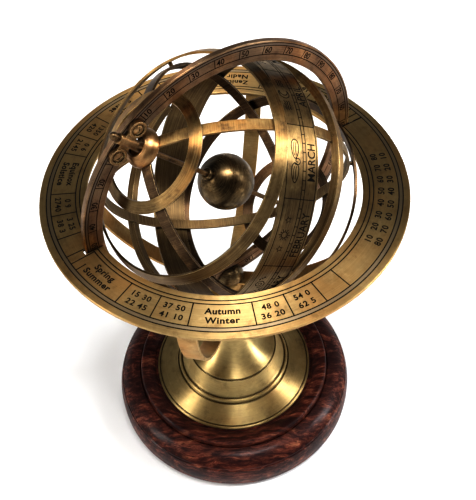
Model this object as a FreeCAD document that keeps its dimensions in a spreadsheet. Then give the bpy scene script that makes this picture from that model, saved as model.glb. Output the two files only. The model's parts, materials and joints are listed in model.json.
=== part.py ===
import FreeCAD, Part
import math
import os
import re

import Sketcher

from FreeCAD import Placement, Rotation, Vector

# A table armillary sphere: a turned wooden base, a spun brass pedestal, two half-ring
# cradle arms that carry a flat horizon ring, a meridian ring that slides round in its
# own plane, and a sphere of rings that turns on the polar rod.
# The origin is the centre of the underside and +Z is up. The meridian ring lies in the
# XZ plane and the north pole leans towards -X. All sizes are in millimetres and degrees.

OUT_FOLDER = "parts"
X_AXIS = Vector(1, 0, 0)
Y_AXIS = Vector(0, 1, 0)
Z_AXIS = Vector(0, 0, 1)

SIZES = [
    # wooden base and its felt
    ("base_radius", 79.5, "widest radius of the wooden base"),
    ("base_seat", 28.0, "height of the seat for the brass foot"),
    ("base_crest", 32.0, "height of the raised ring round the seat"),
    ("base_bore", 3.4, "bolt hole through the wood"),
    ("base_counterbore", 13.0, "radius of the pocket for the bolt head"),
    ("felt_radius", 75.0, "radius of the felt"),
    ("felt_thickness", 1.5, "thickness of the felt"),
    # pedestal
    ("foot_radius", 52.2, "radius of the lip of the brass foot"),
    ("foot_top", 34.8, "height of the top of the foot"),
    ("bead_radius", 37.4, "radius of the bead over the foot"),
    ("bead_top", 38.0, "height of the top of the bead"),
    ("cone_radius", 34.3, "radius of the cone at its base"),
    ("cone_top", 50.4, "height of the top of the cone"),
    ("neck_radius", 28.2, "radius of the neck at its base"),
    ("stem_radius", 6.0, "thinnest radius of the neck"),
    ("neck_cap_radius", 12.0, "radius of the cap of the neck"),
    ("shell", 1.6, "wall of the spun brass shells"),
    ("bolt_radius", 3.0, "radius of the pedestal bolt"),
    ("bolt_head_radius", 6.0, "radius to a corner of the head of the pedestal bolt"),
    ("bolt_head_height", 5.0, "height of the head of the pedestal bolt"),
    ("washer_radius", 10.5, "radius of the washer under the head of the bolt"),
    ("washer_thickness", 2.0, "thickness of the washer under the head of the bolt"),
    # cradle
    ("arm_turn", 46.0, "turn of the lower arm from the meridian plane"),
    ("arm_width", 9.2, "width of the strip of an arm"),
    ("arm_thickness", 1.6, "thickness of the strip of an arm"),
    ("upper_arm_bore", 80.4, "inside radius of the upper arm"),
    ("lower_arm_bore", 90.0, "inside radius of the lower arm"),
    ("upper_foot_end", 91.0, "reach of a foot of the upper arm"),
    ("lower_foot_end", 82.0, "reach of a foot of the lower arm"),
    ("foot_screw_near", 84.2, "distance of the near foot screw from the axis"),
    ("foot_screw_far", 87.8, "distance of the far foot screw from the axis"),
    ("foot_screw_radius", 0.85, "radius of the shank of a foot screw"),
    ("seat_radius", 8.6, "radius of the slotted seat"),
    ("shank_radius", 2.2, "radius of the shank of the slotted seat"),
    # horizon ring
    ("horizon_height", 206.0, "height of the top of the horizon ring"),
    ("horizon_radius", 95.0, "outside radius of the horizon ring"),
    ("horizon_bore", 71.2, "inside radius of the horizon ring"),
    ("horizon_thickness", 2.0, "thickness of the horizon ring"),
    ("edge_break", 0.35, "chamfer on the rims of the two flat rings"),
    ("notch_reach", 81.0, "reach of the notches that hold the meridian"),
    ("notch_width", 3.6, "width of the notches that hold the meridian"),
    # meridian ring
    ("meridian_height", 208.0, "height of the centre of the meridian ring"),
    ("meridian_radius", 80.0, "outside radius of the meridian ring"),
    ("meridian_bore", 69.7, "inside radius of the meridian ring"),
    ("meridian_thickness", 3.0, "thickness of the meridian ring"),
    ("pole_altitude", 48.0, "height of the north pole over the horizon"),
    # polar rod, its clamps and the ball
    ("rod_radius", 1.25, "radius of the polar rod"),
    ("rod_reach", 82.0, "half the length of the polar rod"),
    ("rod_play", 0.06, "radial play of the rings on the rod"),
    ("tip_radius", 2.0, "radius of a tip of the rod"),
    ("ball_radius", 14.6, "radius of the central ball"),
    ("collar_radius", 3.2, "radius of a collar of the ball"),
    ("clamp_offset", 7.6, "distance of a clamp screw from the rod"),
    ("clamp_middle", 74.4, "distance of a clamp screw from the centre"),
    ("clamp_plate_height", 5.6, "height of the plate of a clamp"),
    ("clamp_plate_thickness", 1.5, "thickness of the plate of a clamp"),
    ("lobe_radius", 4.2, "radius of a lobe of a clamp"),
    ("lobe_height", 2.3, "height of a lobe of a clamp"),
    ("lobe_recess", 0.9, "depth of the recess in a lobe of a clamp"),
    ("tube_radius", 2.6, "radius of the half tube of a clamp"),
    ("tube_inner_end", 65.4, "distance of the inner end of the half tube from the centre"),
    ("tube_length", 14.2, "length of the half tube of a clamp"),
    ("clamp_screw_radius", 0.95, "radius of the shank of a clamp screw"),
    # rings of the sphere
    ("colure_radius", 63.6, "outside radius of the colures"),
    ("colure_width", 5.2, "width of the strip of a colure"),
    ("strip", 1.4, "thickness of the strip of a colure"),
    ("band", 1.2, "thickness of the strip of the other rings"),
    ("band_width", 5.9, "width of the polar circles and tropics"),
    ("polar_radius", 64.9, "outside radius of the polar circles from the centre"),
    ("polar_latitude", 65.8, "latitude of the polar circles"),
    ("tropic_radius", 66.95, "outside radius of the tropics from the centre"),
    ("tropic_latitude", 32.5, "latitude of the tropics"),
    ("equator_radius", 66.5, "outside radius of the equator"),
    ("equator_bore", 62.5, "inside radius of the equator"),
    ("equator_height", 4.2, "height of the equator along the axis"),
    ("thinned_arc", 28.5, "half the arc where the equator is thinned for the zodiac"),
    ("zodiac_radius", 64.6, "outside radius of the zodiac band"),
    ("zodiac_thickness", 0.9, "thickness of the zodiac band"),
    ("zodiac_width", 19.6, "width of the zodiac band"),
    ("zodiac_tilt", 23.5, "tilt of the zodiac band from the equator"),
    ("solstice", -33.0, "longitude of the solstice at rest"),
    ("cup_radius", 9.4, "radius of a polar cup"),
    ("cup_mouth", 4.9, "radius of the mouth of a polar cup"),
    ("cup_top", 68.3, "distance of the mouth of a polar cup from the centre"),
    ("bush_radius", 3.4, "radius of a polar bush"),
    ("pin_radius", 1.1, "radius of a pin between a colure and a tropic"),
]

document = FreeCAD.newDocument("ArmillarySphere")


def make_sheet():
    """Put the driving sizes in a spreadsheet, one named cell each."""
    sizes = document.addObject("Spreadsheet::Sheet", "Sizes")
    for row, (alias, number, note) in enumerate(SIZES, start=1):
        sizes.set(f"A{row}", note)
        sizes.set(f"B{row}", str(number))
        sizes.setAlias(f"B{row}", alias)
    document.recompute()
    return sizes


sheet = make_sheet()
SIZE_NAMES = re.compile(r"\b(" + "|".join(alias for alias, _, _ in SIZES) + r")\b")


def formula(text):
    """Turn a formula of size names into one that other objects can use."""
    return SIZE_NAMES.sub(r"Sizes.\1", text)


def size(text):
    """The value of a formula of size names."""
    return float(sheet.evalExpression(formula(text)))


# ---------------------------------------------------------------- building blocks


def make_body(name, placement=None):
    body = document.addObject("PartDesign::Body", name)
    body.Label = name
    if placement is not None:
        body.Placement = placement
    return body


def make_sketch(body, name, plane="XZ_Plane", offset="0"):
    """Add a sketch on one of the body's own origin planes or at an offset from it."""
    sketch = body.newObject("Sketcher::SketchObject", f"{body.Name}_{name}")
    support = [item for item in body.Origin.OriginFeatures if item.Role == plane][0]
    sketch.AttachmentSupport = (support, [""])
    sketch.MapMode = "FlatFace"
    sketch.setExpression("AttachmentOffset.Base.z", formula(offset))
    return sketch


def bind(sketch, kind, *references, to):
    """Add a dimension to a sketch and bind it to a formula."""
    index = sketch.addConstraint(Sketcher.Constraint(kind, *references, size(to)))
    sketch.setExpression(f"Constraints[{index}]", formula(to))


def bind_point(sketch, geometry, end, x_text, y_text):
    """Hold one point of a line, arc or circle at a place given by two formulas."""
    for kind, text, axis in (("DistanceX", x_text, -2), ("DistanceY", y_text, -1)):
        number = size(text)
        if abs(number) < 1e-9:
            sketch.addConstraint(Sketcher.Constraint("PointOnObject", geometry, end, axis))
        elif number > 0:
            bind(sketch, kind, -1, 1, geometry, end, to=text)
        else:
            bind(sketch, kind, geometry, end, -1, 1, to=f"-({text})")


def bind_arc(sketch, arc, point, following):
    """Hold an arc's radius at the one that its chord and its bulge give."""
    bulge = abs(point[2])
    width = f"(({following[0]}) - ({point[0]}))"
    rise = f"(({following[1]}) - ({point[1]}))"
    bind(sketch, "Radius", arc, to=f"sqrt({width}^2 + {rise}^2) * {(1 + bulge ** 2) / (4 * bulge)}")


def arc_between(start, finish, bulge):
    """An arc whose height over its chord is bulge half chords. It lies to the right of
    the way from start to finish when bulge is positive and to the left when negative."""
    chord = finish - start
    sideways = Vector(chord.y, -chord.x, 0) * (bulge / 2)
    return Part.Arc(start, (start + finish) / 2 + sideways, finish)


def draw_outline(sketch, points):
    """Draw a closed outline. A point is (x, y) in formulas. A third value is the bulge
    of an arc that leaves the point for the next one."""
    places = [Vector(size(point[0]), size(point[1]), 0) for point in points]
    following = points[1:] + points[:1]
    ends = []
    for point, start, finish in zip(points, places, places[1:] + places[:1]):
        if len(point) == 3:
            side = sketch.addGeometry(arc_between(start, finish, point[2]))
        else:
            side = sketch.addGeometry(Part.LineSegment(start, finish))
        forward = sketch.getPoint(side, 1).distanceToPoint(start) < 1e-6
        ends.append((side, 1, 2) if forward else (side, 2, 1))
    for point, after, this_side, next_side in zip(points, following, ends, ends[1:] + ends[:1]):
        side, start, finish = this_side
        sketch.addConstraint(
            Sketcher.Constraint("Coincident", side, finish, next_side[0], next_side[1]))
        bind_point(sketch, side, start, point[0], point[1])
        if len(point) == 3:
            bind_arc(sketch, side, point, after)


def cap_bulge(edge_text, height_text):
    """The bulge of an arc that rises from an edge and ends square on the axis."""
    return math.tan(math.atan2(size(height_text), size(edge_text)) / 2)


def draw_circle(sketch, radius_text, x_text="0", y_text="0"):
    center = Vector(size(x_text), size(y_text), 0)
    circle = sketch.addGeometry(Part.Circle(center, Z_AXIS, size(radius_text)))
    bind_point(sketch, circle, 3, x_text, y_text)
    bind(sketch, "Radius", circle, to=radius_text)


def draw_rectangle(sketch, x_low, x_high, y_low, y_high):
    draw_outline(sketch, [(x_low, y_low), (x_high, y_low), (x_high, y_high), (x_low, y_high)])


def turn(body, points):
    """Revolve an outline of (radius, height) about the body's Z axis."""
    sketch = make_sketch(body, "Outline")
    draw_outline(sketch, points)
    revolution = body.newObject("PartDesign::Revolution", f"{body.Name}_Turned")
    revolution.Profile = sketch
    revolution.ReferenceAxis = (sketch, ["V_Axis"])
    revolution.Angle = 360
    document.recompute()


def pad(body, sketch, length_text, symmetric=False):
    """Raise a sketch along its normal. That is +Z from XY and -Y from XZ."""
    feature = body.newObject("PartDesign::Pad", f"{sketch.Name}_Pad")
    feature.Profile = sketch
    feature.SideType = "Symmetric" if symmetric else "One side"
    feature.setExpression("Length", formula(length_text))
    document.recompute()
    return feature


def pocket(body, sketch, length_text, symmetric=False, reverse=False):
    """Cut a sketch out of a body, against its normal unless reversed."""
    before = body.Shape.Volume
    feature = body.newObject("PartDesign::Pocket", f"{sketch.Name}_Pocket")
    feature.Profile = sketch
    feature.SideType = "Symmetric" if symmetric else "One side"
    feature.Reversed = reverse
    feature.setExpression("Length", formula(length_text))
    document.recompute()
    if body.Shape.Volume >= before - 1e-6:
        raise RuntimeError(f"{feature.Name} cuts nothing")


def chamfer_rims(body, ring):
    """Break the four sharp round edges of a flat ring."""
    rims = [
        f"Edge{number}" for number, edge in enumerate(ring.Shape.Edges, 1)
        if isinstance(edge.Curve, Part.Circle)]
    chamfer = body.newObject("PartDesign::Chamfer", f"{body.Name}_rims")
    chamfer.Base = (ring, rims)
    chamfer.setExpression("Size", formula("edge_break"))
    document.recompute()


def make_group(name, master, placements):
    """One node of identical pieces, with the master at each of the placements."""
    links = []
    for index, placement in enumerate(placements, start=1):
        link = document.addObject("App::Link", f"{name}_link_{index}")
        link.LinkedObject = master
        link.Placement = placement
        links.append(link)
    compound = document.addObject("Part::Compound", f"{name}_group")
    compound.Links = links
    compound.Label = name
    return compound


# ---------------------------------------------------------------- places


def turned(axis, angle):
    return Placement(Vector(0, 0, 0), Rotation(axis, angle))


def shifted(axis, text):
    return Placement(axis * size(text), Rotation())


def spoke(height_text, angle):
    """A frame at a height on the Z axis, turned about it."""
    return shifted(Z_AXIS, height_text).multiply(turned(Z_AXIS, angle))


def pole_place(south=False):
    """The frame of the sphere: Z along the polar axis and XZ on the meridian's face.
    The southern one is turned end for end."""
    center = Vector(0, -size("meridian_thickness / 2"), size("meridian_height"))
    lean = size("pole_altitude") - 90 + (180 if south else 0)
    return Placement(center, Rotation(Y_AXIS, lean))


def colure_place(quarter_turns=0):
    """The frame of the sphere with X towards one of the four colure legs."""
    return pole_place().multiply(turned(Z_AXIS, size("solstice") + 90 * quarter_turns))


# ---------------------------------------------------------------- base and pedestal


def make_base_felt():
    turn(make_body("base_felt"), [
        ("base_counterbore", "0"),
        ("felt_radius", "0"),
        ("felt_radius", "felt_thickness"),
        ("base_counterbore", "felt_thickness"),
    ])


def make_wooden_base():
    """Turned wood: a rounded side, a small step, a domed rim, a groove and a raised ring."""
    turn(make_body("wooden_base"), [
        ("base_counterbore", "felt_thickness"),
        ("base_radius - 3.5", "felt_thickness", 0.35),
        ("base_radius", "8", 0.12),
        ("base_radius - 1.9", "20.5"),
        ("base_radius - 2.6", "20.9"),
        ("base_radius - 2.8", "22", 0.2),
        ("base_radius - 14.6", "base_seat - 0.2"),
        ("base_radius - 15.2", "base_seat - 1.2"),
        ("base_radius - 15.6", "base_seat - 0.2", 0.1),
        ("base_radius - 15.9", "base_crest - 1.6", 0.42),
        ("base_radius - 17.6", "base_crest", 0.12),
        ("base_radius - 25", "base_seat + 1.2", -0.3),
        ("base_radius - 26.8", "base_seat"),
        ("base_bore", "base_seat"),
        ("base_bore", "felt_thickness + 9"),
        ("base_counterbore", "felt_thickness + 9"),
    ])


def make_pedestal_foot():
    """A spun shell: a lip, a thin groove and a shallow cone up to the bead."""
    turn(make_body("pedestal_foot"), [
        ("foot_radius - 2.6", "base_seat"),
        ("foot_radius - 0.3", "base_seat", 0.4),
        ("foot_radius - 0.3", "base_seat + 1.5"),
        ("foot_radius - 1.2", "base_seat + 1.8"),
        ("foot_radius - 1.5", "base_seat + 1"),
        ("foot_radius - 1.9", "base_seat + 1"),
        ("foot_radius - 2.2", "base_seat + 2.1"),
        ("bead_radius + 0.5", "foot_top"),
        ("bead_radius + 0.2", "foot_top - 0.9"),
        ("bead_radius - 0.6", "foot_top - 0.9"),
        ("bead_radius - 0.8", "foot_top"),
        ("bead_radius - 8", "foot_top"),
        ("bead_radius - 8", "foot_top - shell"),
        ("bead_radius", "foot_top - shell"),
    ])


def make_pedestal_bead():
    """The turned ring between the foot and the cone, with a step under the cone."""
    turn(make_body("pedestal_bead"), [
        ("bead_radius - 8", "foot_top"),
        ("bead_radius - 1", "foot_top"),
        ("bead_radius - 0.7", "foot_top + 0.7", 0.6),
        ("bead_radius - 2", "bead_top - 0.4"),
        ("bead_radius - 2.2", "bead_top - 1.3"),
        ("bead_radius - 3", "bead_top - 1.3"),
        ("bead_radius - 3.2", "bead_top"),
        ("bead_radius - 8", "bead_top"),
    ])


def make_pedestal_cone():
    """A spun shell with a slightly hollow side."""
    turn(make_body("pedestal_cone"), [
        ("cone_radius - shell", "bead_top"),
        ("cone_radius - 0.3", "bead_top", 0.5),
        ("cone_radius - 0.6", "bead_top + 1.2", -0.07),
        ("neck_radius + 0.7", "cone_top - 0.4"),
        ("neck_radius + 0.4", "cone_top - 1.1"),
        ("neck_radius - 0.3", "cone_top - 1.1"),
        ("neck_radius - 0.5", "cone_top"),
        ("bolt_radius + 6", "cone_top"),
        ("bolt_radius + 6", "cone_top - shell"),
        ("neck_radius - shell", "cone_top - shell", 0.07),
    ])


def make_pedestal_neck():
    """The turned column: a trumpet foot, a ring, a baluster bulb and a cap under the arms."""
    top = "horizon_height - lower_arm_bore - arm_thickness"
    turn(make_body("pedestal_neck"), [
        ("bolt_radius", "cone_top"),
        ("neck_radius - 0.6", "cone_top"),
        ("neck_radius - 0.3", "cone_top + 0.7", -0.36),
        ("stem_radius + 3", "cone_top + 31"),
        ("stem_radius + 4", "cone_top + 31.8", 0.9),
        ("stem_radius + 4", "cone_top + 34.6"),
        ("stem_radius + 1.2", "cone_top + 35.4", -0.3),
        ("stem_radius + 1.2", "cone_top + 38", 0.45),
        ("stem_radius + 0.6", f"{top} - 11.5", -0.35),
        ("neck_cap_radius - 2", f"{top} - 4.2"),
        ("neck_cap_radius", f"{top} - 3.6", 0.5),
        ("neck_cap_radius", f"{top} - 0.6"),
        ("neck_cap_radius - 0.6", top),
        ("shank_radius", top),
        ("shank_radius", f"{top} - 13"),
        ("bolt_radius", f"{top} - 16"),
    ])


def make_pedestal_bolt():
    """The hexagon bolt that pulls the whole pedestal down on to the wood."""
    body = make_body("pedestal_bolt", shifted(Z_AXIS, "felt_thickness + 2"))
    head = make_sketch(body, "Head", "XY_Plane")
    draw_outline(head, [
        (f"bolt_head_radius * cos({60 * corner})", f"bolt_head_radius * sin({60 * corner})")
        for corner in range(6)])
    pad(body, head, "bolt_head_height")
    shank = make_sketch(body, "Shank", "XY_Plane")
    draw_circle(shank, "bolt_radius")
    pad(body, shank, "cone_top + 26")


def make_pedestal_washer():
    height = "felt_thickness + 2 + bolt_head_height"
    turn(make_body("pedestal_washer", shifted(Z_AXIS, height)), [
        ("bolt_radius + 0.2", "0"),
        ("washer_radius", "0"),
        ("washer_radius", "washer_thickness"),
        ("bolt_radius + 0.2", "washer_thickness"),
    ])


# ---------------------------------------------------------------- cradle and horizon


def half_ring_bulge(x_text, y_text):
    """The bulge of the lower arc about the origin between (-x, y) and (x, y)."""
    return (math.hypot(size(x_text), size(y_text)) + size(y_text)) / size(x_text)


def make_arm(name, angle, outline):
    """A half ring of flat strip with a foot at each end and a hole in its middle."""
    body = make_body(name, spoke("horizon_height", angle))
    strip = make_sketch(body, "Strip")
    draw_outline(strip, outline)
    pad(body, strip, "arm_width", symmetric=True)
    middle = make_sketch(body, "Middle", "XY_Plane")
    draw_circle(middle, "shank_radius + 0.1")
    pocket(body, middle, "lower_arm_bore + arm_thickness + 1")
    feet = make_sketch(body, "Feet", "XY_Plane")
    for place in ("foot_screw_near", "foot_screw_far"):
        draw_circle(feet, "foot_screw_radius + 0.1", place)
        draw_circle(feet, "foot_screw_radius + 0.1", f"-{place}")
    pocket(body, feet, "horizon_thickness + arm_thickness + 1")


def make_upper_cradle_arm():
    """The arm that crosses over the other. Its feet point outwards."""
    top = "-horizon_thickness"
    low = "-horizon_thickness - arm_thickness"
    inner = f"sqrt(upper_arm_bore^2 - ({top})^2)"
    outer = f"sqrt((upper_arm_bore + arm_thickness)^2 - ({low})^2)"
    make_arm("upper_cradle_arm", size("arm_turn") + 90, [
        ("-upper_foot_end", low),
        (f"-{outer}", low, half_ring_bulge(outer, low)),
        (outer, low),
        ("upper_foot_end", low),
        ("upper_foot_end", top),
        (inner, top, -half_ring_bulge(inner, top)),
        (f"-{inner}", top),
        ("-upper_foot_end", top),
    ])


def make_lower_cradle_arm():
    """The arm that passes under the other. Its feet point inwards."""
    top = "-horizon_thickness"
    low = "-horizon_thickness - arm_thickness"
    inner = f"sqrt(lower_arm_bore^2 - ({low})^2)"
    outer = f"sqrt((lower_arm_bore + arm_thickness)^2 - ({top})^2)"
    make_arm("lower_cradle_arm", size("arm_turn"), [
        (f"-{outer}", top, half_ring_bulge(outer, top)),
        (outer, top),
        ("lower_foot_end", top),
        ("lower_foot_end", low),
        (inner, low, -half_ring_bulge(inner, low)),
        (f"-{inner}", low),
        ("-lower_foot_end", low),
        ("-lower_foot_end", top),
    ])


def make_cradle_spacer():
    """The turned drum that holds the two arms apart."""
    top = "horizon_height - upper_arm_bore - arm_thickness"
    low = "horizon_height - lower_arm_bore + 0.3"
    turn(make_body("cradle_spacer"), [
        ("shank_radius", low),
        ("seat_radius - 2.4", low),
        ("seat_radius - 1.4", f"{low} + 1"),
        ("seat_radius - 1.4", f"{top} - 1"),
        ("seat_radius - 2.4", top),
        ("shank_radius", top),
    ])


def make_meridian_seat():
    """A dome with a slot for the meridian ring and a shank that screws into the neck."""
    bottom = "horizon_height - upper_arm_bore + 0.5"
    shank_end = "horizon_height - lower_arm_bore - arm_thickness - 12"
    body = make_body("meridian_seat")
    turn(body, [
        ("0", shank_end),
        ("shank_radius", shank_end),
        ("shank_radius", bottom),
        ("seat_radius - 1", bottom),
        ("seat_radius", f"{bottom} + 1.2", 0.28),
        ("seat_radius - 4.2", f"{bottom} + 8.6"),
        ("0", f"{bottom} + 8.6"),
    ])
    slot = make_sketch(body, "Slot")
    draw_circle(slot, "meridian_radius + 0.4", "0", "meridian_height")
    pocket(body, slot, "notch_width", symmetric=True)


def make_horizon_ring():
    """A flat ring with two notches for the meridian and blind holes for the arms."""
    body = make_body("horizon_ring", shifted(Z_AXIS, "horizon_height - horizon_thickness"))
    ring = make_sketch(body, "Ring", "XY_Plane")
    draw_circle(ring, "horizon_radius")
    draw_circle(ring, "horizon_bore")
    chamfer_rims(body, pad(body, ring, "horizon_thickness"))
    notches = make_sketch(body, "Notches", "XY_Plane")
    draw_rectangle(notches, "-notch_reach", "notch_reach", "-notch_width / 2", "notch_width / 2")
    pocket(body, notches, "horizon_thickness", reverse=True)
    holes = make_sketch(body, "Holes", "XY_Plane")
    for quarter in range(4):
        angle = f"(arm_turn + {90 * quarter})"
        for place in ("foot_screw_near", "foot_screw_far"):
            draw_circle(holes, "foot_screw_radius", f"{place} * cos({angle})", f"{place} * sin({angle})")
    pocket(body, holes, "1.4", reverse=True)


def make_foot_screws():
    """Eight small slotted screws under the feet of the arms."""
    master = make_body("foot_screw")
    turn(master, [
        ("0", "0"),
        ("foot_screw_radius", "0"),
        ("foot_screw_radius + 0.7", "0.4"),
        ("foot_screw_radius + 0.7", "1"),
        ("foot_screw_radius", "1"),
        ("foot_screw_radius", "arm_thickness + 2.2"),
        ("0", "arm_thickness + 2.2"),
    ])
    slot = make_sketch(master, "Slot", "XY_Plane")
    draw_rectangle(slot, "-2", "2", "-0.2", "0.2")
    pocket(master, slot, "0.5", reverse=True)
    height = "horizon_height - horizon_thickness - arm_thickness - 1"
    places = []
    for quarter in range(4):
        for distance in ("foot_screw_near", "foot_screw_far"):
            place = spoke(height, size("arm_turn") + 90 * quarter).multiply(shifted(X_AXIS, distance))
            places.append(place.multiply(turned(Z_AXIS, 40 * quarter)))
    make_group("foot_screws", master, places)


# ---------------------------------------------------------------- meridian and polar rod


def make_meridian_ring():
    """A flat ring with threaded holes for the clamps and a half round seat for the rod."""
    body = make_body("meridian_ring", shifted(Z_AXIS, "meridian_height"))
    ring = make_sketch(body, "Ring")
    draw_circle(ring, "meridian_radius")
    draw_circle(ring, "meridian_bore")
    chamfer_rims(body, pad(body, ring, "meridian_thickness", symmetric=True))
    holes = make_sketch(body, "Holes")
    for side in (1, -1):
        for end in (1, -1):
            across = f"({side} * clamp_offset)"
            along = f"({end} * clamp_middle)"
            draw_circle(
                holes, "clamp_screw_radius",
                f"{across} * sin(pole_altitude) - {along} * cos(pole_altitude)",
                f"{across} * cos(pole_altitude) + {along} * sin(pole_altitude)")
    pocket(body, holes, "meridian_thickness + 1", symmetric=True)
    channel = body.newObject("PartDesign::SubtractiveCylinder", "rod_channel")
    channel.setExpression("Radius", formula("rod_radius"))
    channel.setExpression("Height", formula("2 * rod_reach"))
    lean = Rotation(Y_AXIS, size("pole_altitude") - 90)
    start = Vector(0, -size("meridian_thickness / 2"), 0) - lean.multVec(Z_AXIS * size("rod_reach"))
    channel.Placement = Placement(start, lean)


def make_polar_rod():
    rod = document.addObject("Part::Cylinder", "polar_rod")
    rod.Label = "polar_rod"
    rod.setExpression("Radius", formula("rod_radius"))
    rod.setExpression("Height", formula("2 * rod_reach"))
    rod.Placement = pole_place().multiply(shifted(Z_AXIS, "-rod_reach"))


def make_rod_tip(name, south):
    """The small ball screwed on an end of the rod, just past the edge of the meridian."""
    center = "meridian_radius + 0.25 + tip_radius"
    edge = "sqrt(tip_radius^2 - 1.5^2)"
    turn(make_body(name, pole_place(south)), [
        ("rod_radius", f"{center} - 1.5"),
        (edge, f"{center} - 1.5", cap_bulge(edge, "tip_radius + 1.5")),
        ("0", f"{center} + tip_radius"),
        ("0", "rod_reach"),
        ("rod_radius", "rod_reach"),
    ])


def make_pole_clamp(name, south):
    """A saddle clamp: two recessed lobes and a half tube over the rod. The half tube
    reaches inwards into the mouth of the cup."""
    body = make_body(name, pole_place(south))
    low = "clamp_middle - clamp_plate_height / 2"
    high = "clamp_middle + clamp_plate_height / 2"
    plate = make_sketch(body, "Plate")
    draw_rectangle(plate, "-clamp_offset", "clamp_offset", low, high)
    pad(body, plate, "clamp_plate_thickness")
    tube = make_sketch(body, "Tube", "XY_Plane", "tube_inner_end")
    draw_outline(tube, [
        ("-tube_radius", "0", math.tan(math.pi / 8)),
        ("0", "-tube_radius", math.tan(math.pi / 8)),
        ("tube_radius", "0"),
    ])
    pad(body, tube, "tube_length")
    lobes = make_sketch(body, "Lobes")
    for side in ("clamp_offset", "-clamp_offset"):
        draw_circle(lobes, "lobe_radius", side, "clamp_middle")
    pad(body, lobes, "lobe_height")
    recess = make_sketch(body, "Recess", offset="lobe_height")
    holes = make_sketch(body, "Holes")
    for side in ("clamp_offset", "-clamp_offset"):
        draw_circle(recess, "lobe_radius - 1.1", side, "clamp_middle")
        draw_circle(holes, "clamp_screw_radius + 0.1", side, "clamp_middle")
    pocket(body, recess, "lobe_recess")
    pocket(body, holes, "lobe_height", reverse=True)
    channel = make_sketch(body, "Channel", "XY_Plane")
    draw_circle(channel, "rod_radius")
    pocket(body, channel, "meridian_radius + 1", reverse=True)


def make_clamp_screws():
    """Four slotted screws with domed heads."""
    master = make_body("clamp_screw")
    turn(master, [
        ("0", "-4"),
        ("clamp_screw_radius", "-4"),
        ("clamp_screw_radius", "0"),
        ("clamp_screw_radius + 1.4", "0"),
        ("clamp_screw_radius + 1.4", "0.6", cap_bulge("clamp_screw_radius + 1.4", "1")),
        ("0", "1.6"),
    ])
    slot = make_sketch(master, "Slot", "XY_Plane", "1.6")
    draw_rectangle(slot, "-3", "3", "-0.3", "0.3")
    pocket(master, slot, "0.8")
    facing = turned(X_AXIS, 90)
    places = []
    for south, slot_turns in ((False, (20, -35)), (True, (65, 5))):
        for side, slot_turn in zip((1, -1), slot_turns):
            spot = Placement(
                Vector(side * size("clamp_offset"), -1.4, size("clamp_middle")), Rotation())
            place = pole_place(south).multiply(spot).multiply(facing)
            places.append(place.multiply(turned(Z_AXIS, slot_turn)))
    make_group("clamp_screws", master, places)


def make_central_ball():
    """The ball in the middle of the rod, with a small flat for the collar at each end."""
    flat = "sqrt(ball_radius^2 - (collar_radius + 0.2)^2)"
    bulge = (size("ball_radius") - size("collar_radius + 0.2")) / size(flat)
    turn(make_body("central_ball", pole_place()), [
        ("rod_radius", f"-{flat}"),
        ("collar_radius + 0.2", f"-{flat}", bulge),
        ("collar_radius + 0.2", flat),
        ("rod_radius", flat),
    ])


def make_ball_collar(name, south):
    flat = "sqrt(ball_radius^2 - (collar_radius + 0.2)^2)"
    turn(make_body(name, pole_place(south)), [
        ("rod_radius", flat),
        ("collar_radius", flat),
        ("collar_radius", f"{flat} + 2", 0.41),
        ("collar_radius - 0.8", f"{flat} + 2.8"),
        ("rod_radius", f"{flat} + 2.8"),
    ])


# ---------------------------------------------------------------- rings of the sphere


def make_colure(name, quarter_turns, lap_low, lap_high):
    """A hoop through both poles, halved in thickness where it crosses the other hoop."""
    body = make_body(name, colure_place(quarter_turns))
    hoop = make_sketch(body, "Hoop")
    draw_circle(hoop, "colure_radius")
    draw_circle(hoop, "colure_radius - strip")
    pad(body, hoop, "colure_width", symmetric=True)
    lap = make_sketch(body, "Lap")
    half = "colure_width / 2"
    draw_rectangle(lap, f"-{half}", half, lap_low, lap_high)
    draw_rectangle(lap, f"-{half}", half, f"-({lap_high})", f"-({lap_low})")
    pocket(body, lap, "colure_width + 1", symmetric=True)
    poles = make_sketch(body, "Poles", "XY_Plane")
    draw_circle(poles, "bush_radius - 1.2")
    pocket(body, poles, "2 * colure_radius + 2", symmetric=True)


def make_cone_band(name, latitude, radius, south):
    """A flat strip bent to a cone that touches the sphere along one parallel."""
    half = "band_width / 2"
    corners = [
        (f"({radius} - band) * cos({latitude}) + {half} * sin({latitude})",
         f"({radius} - band) * sin({latitude}) - {half} * cos({latitude})"),
        (f"{radius} * cos({latitude}) + {half} * sin({latitude})",
         f"{radius} * sin({latitude}) - {half} * cos({latitude})"),
        (f"{radius} * cos({latitude}) - {half} * sin({latitude})",
         f"{radius} * sin({latitude}) + {half} * cos({latitude})"),
        (f"({radius} - band) * cos({latitude}) - {half} * sin({latitude})",
         f"({radius} - band) * sin({latitude}) + {half} * cos({latitude})"),
    ]
    turn(make_body(name, pole_place(south)), corners)


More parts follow.
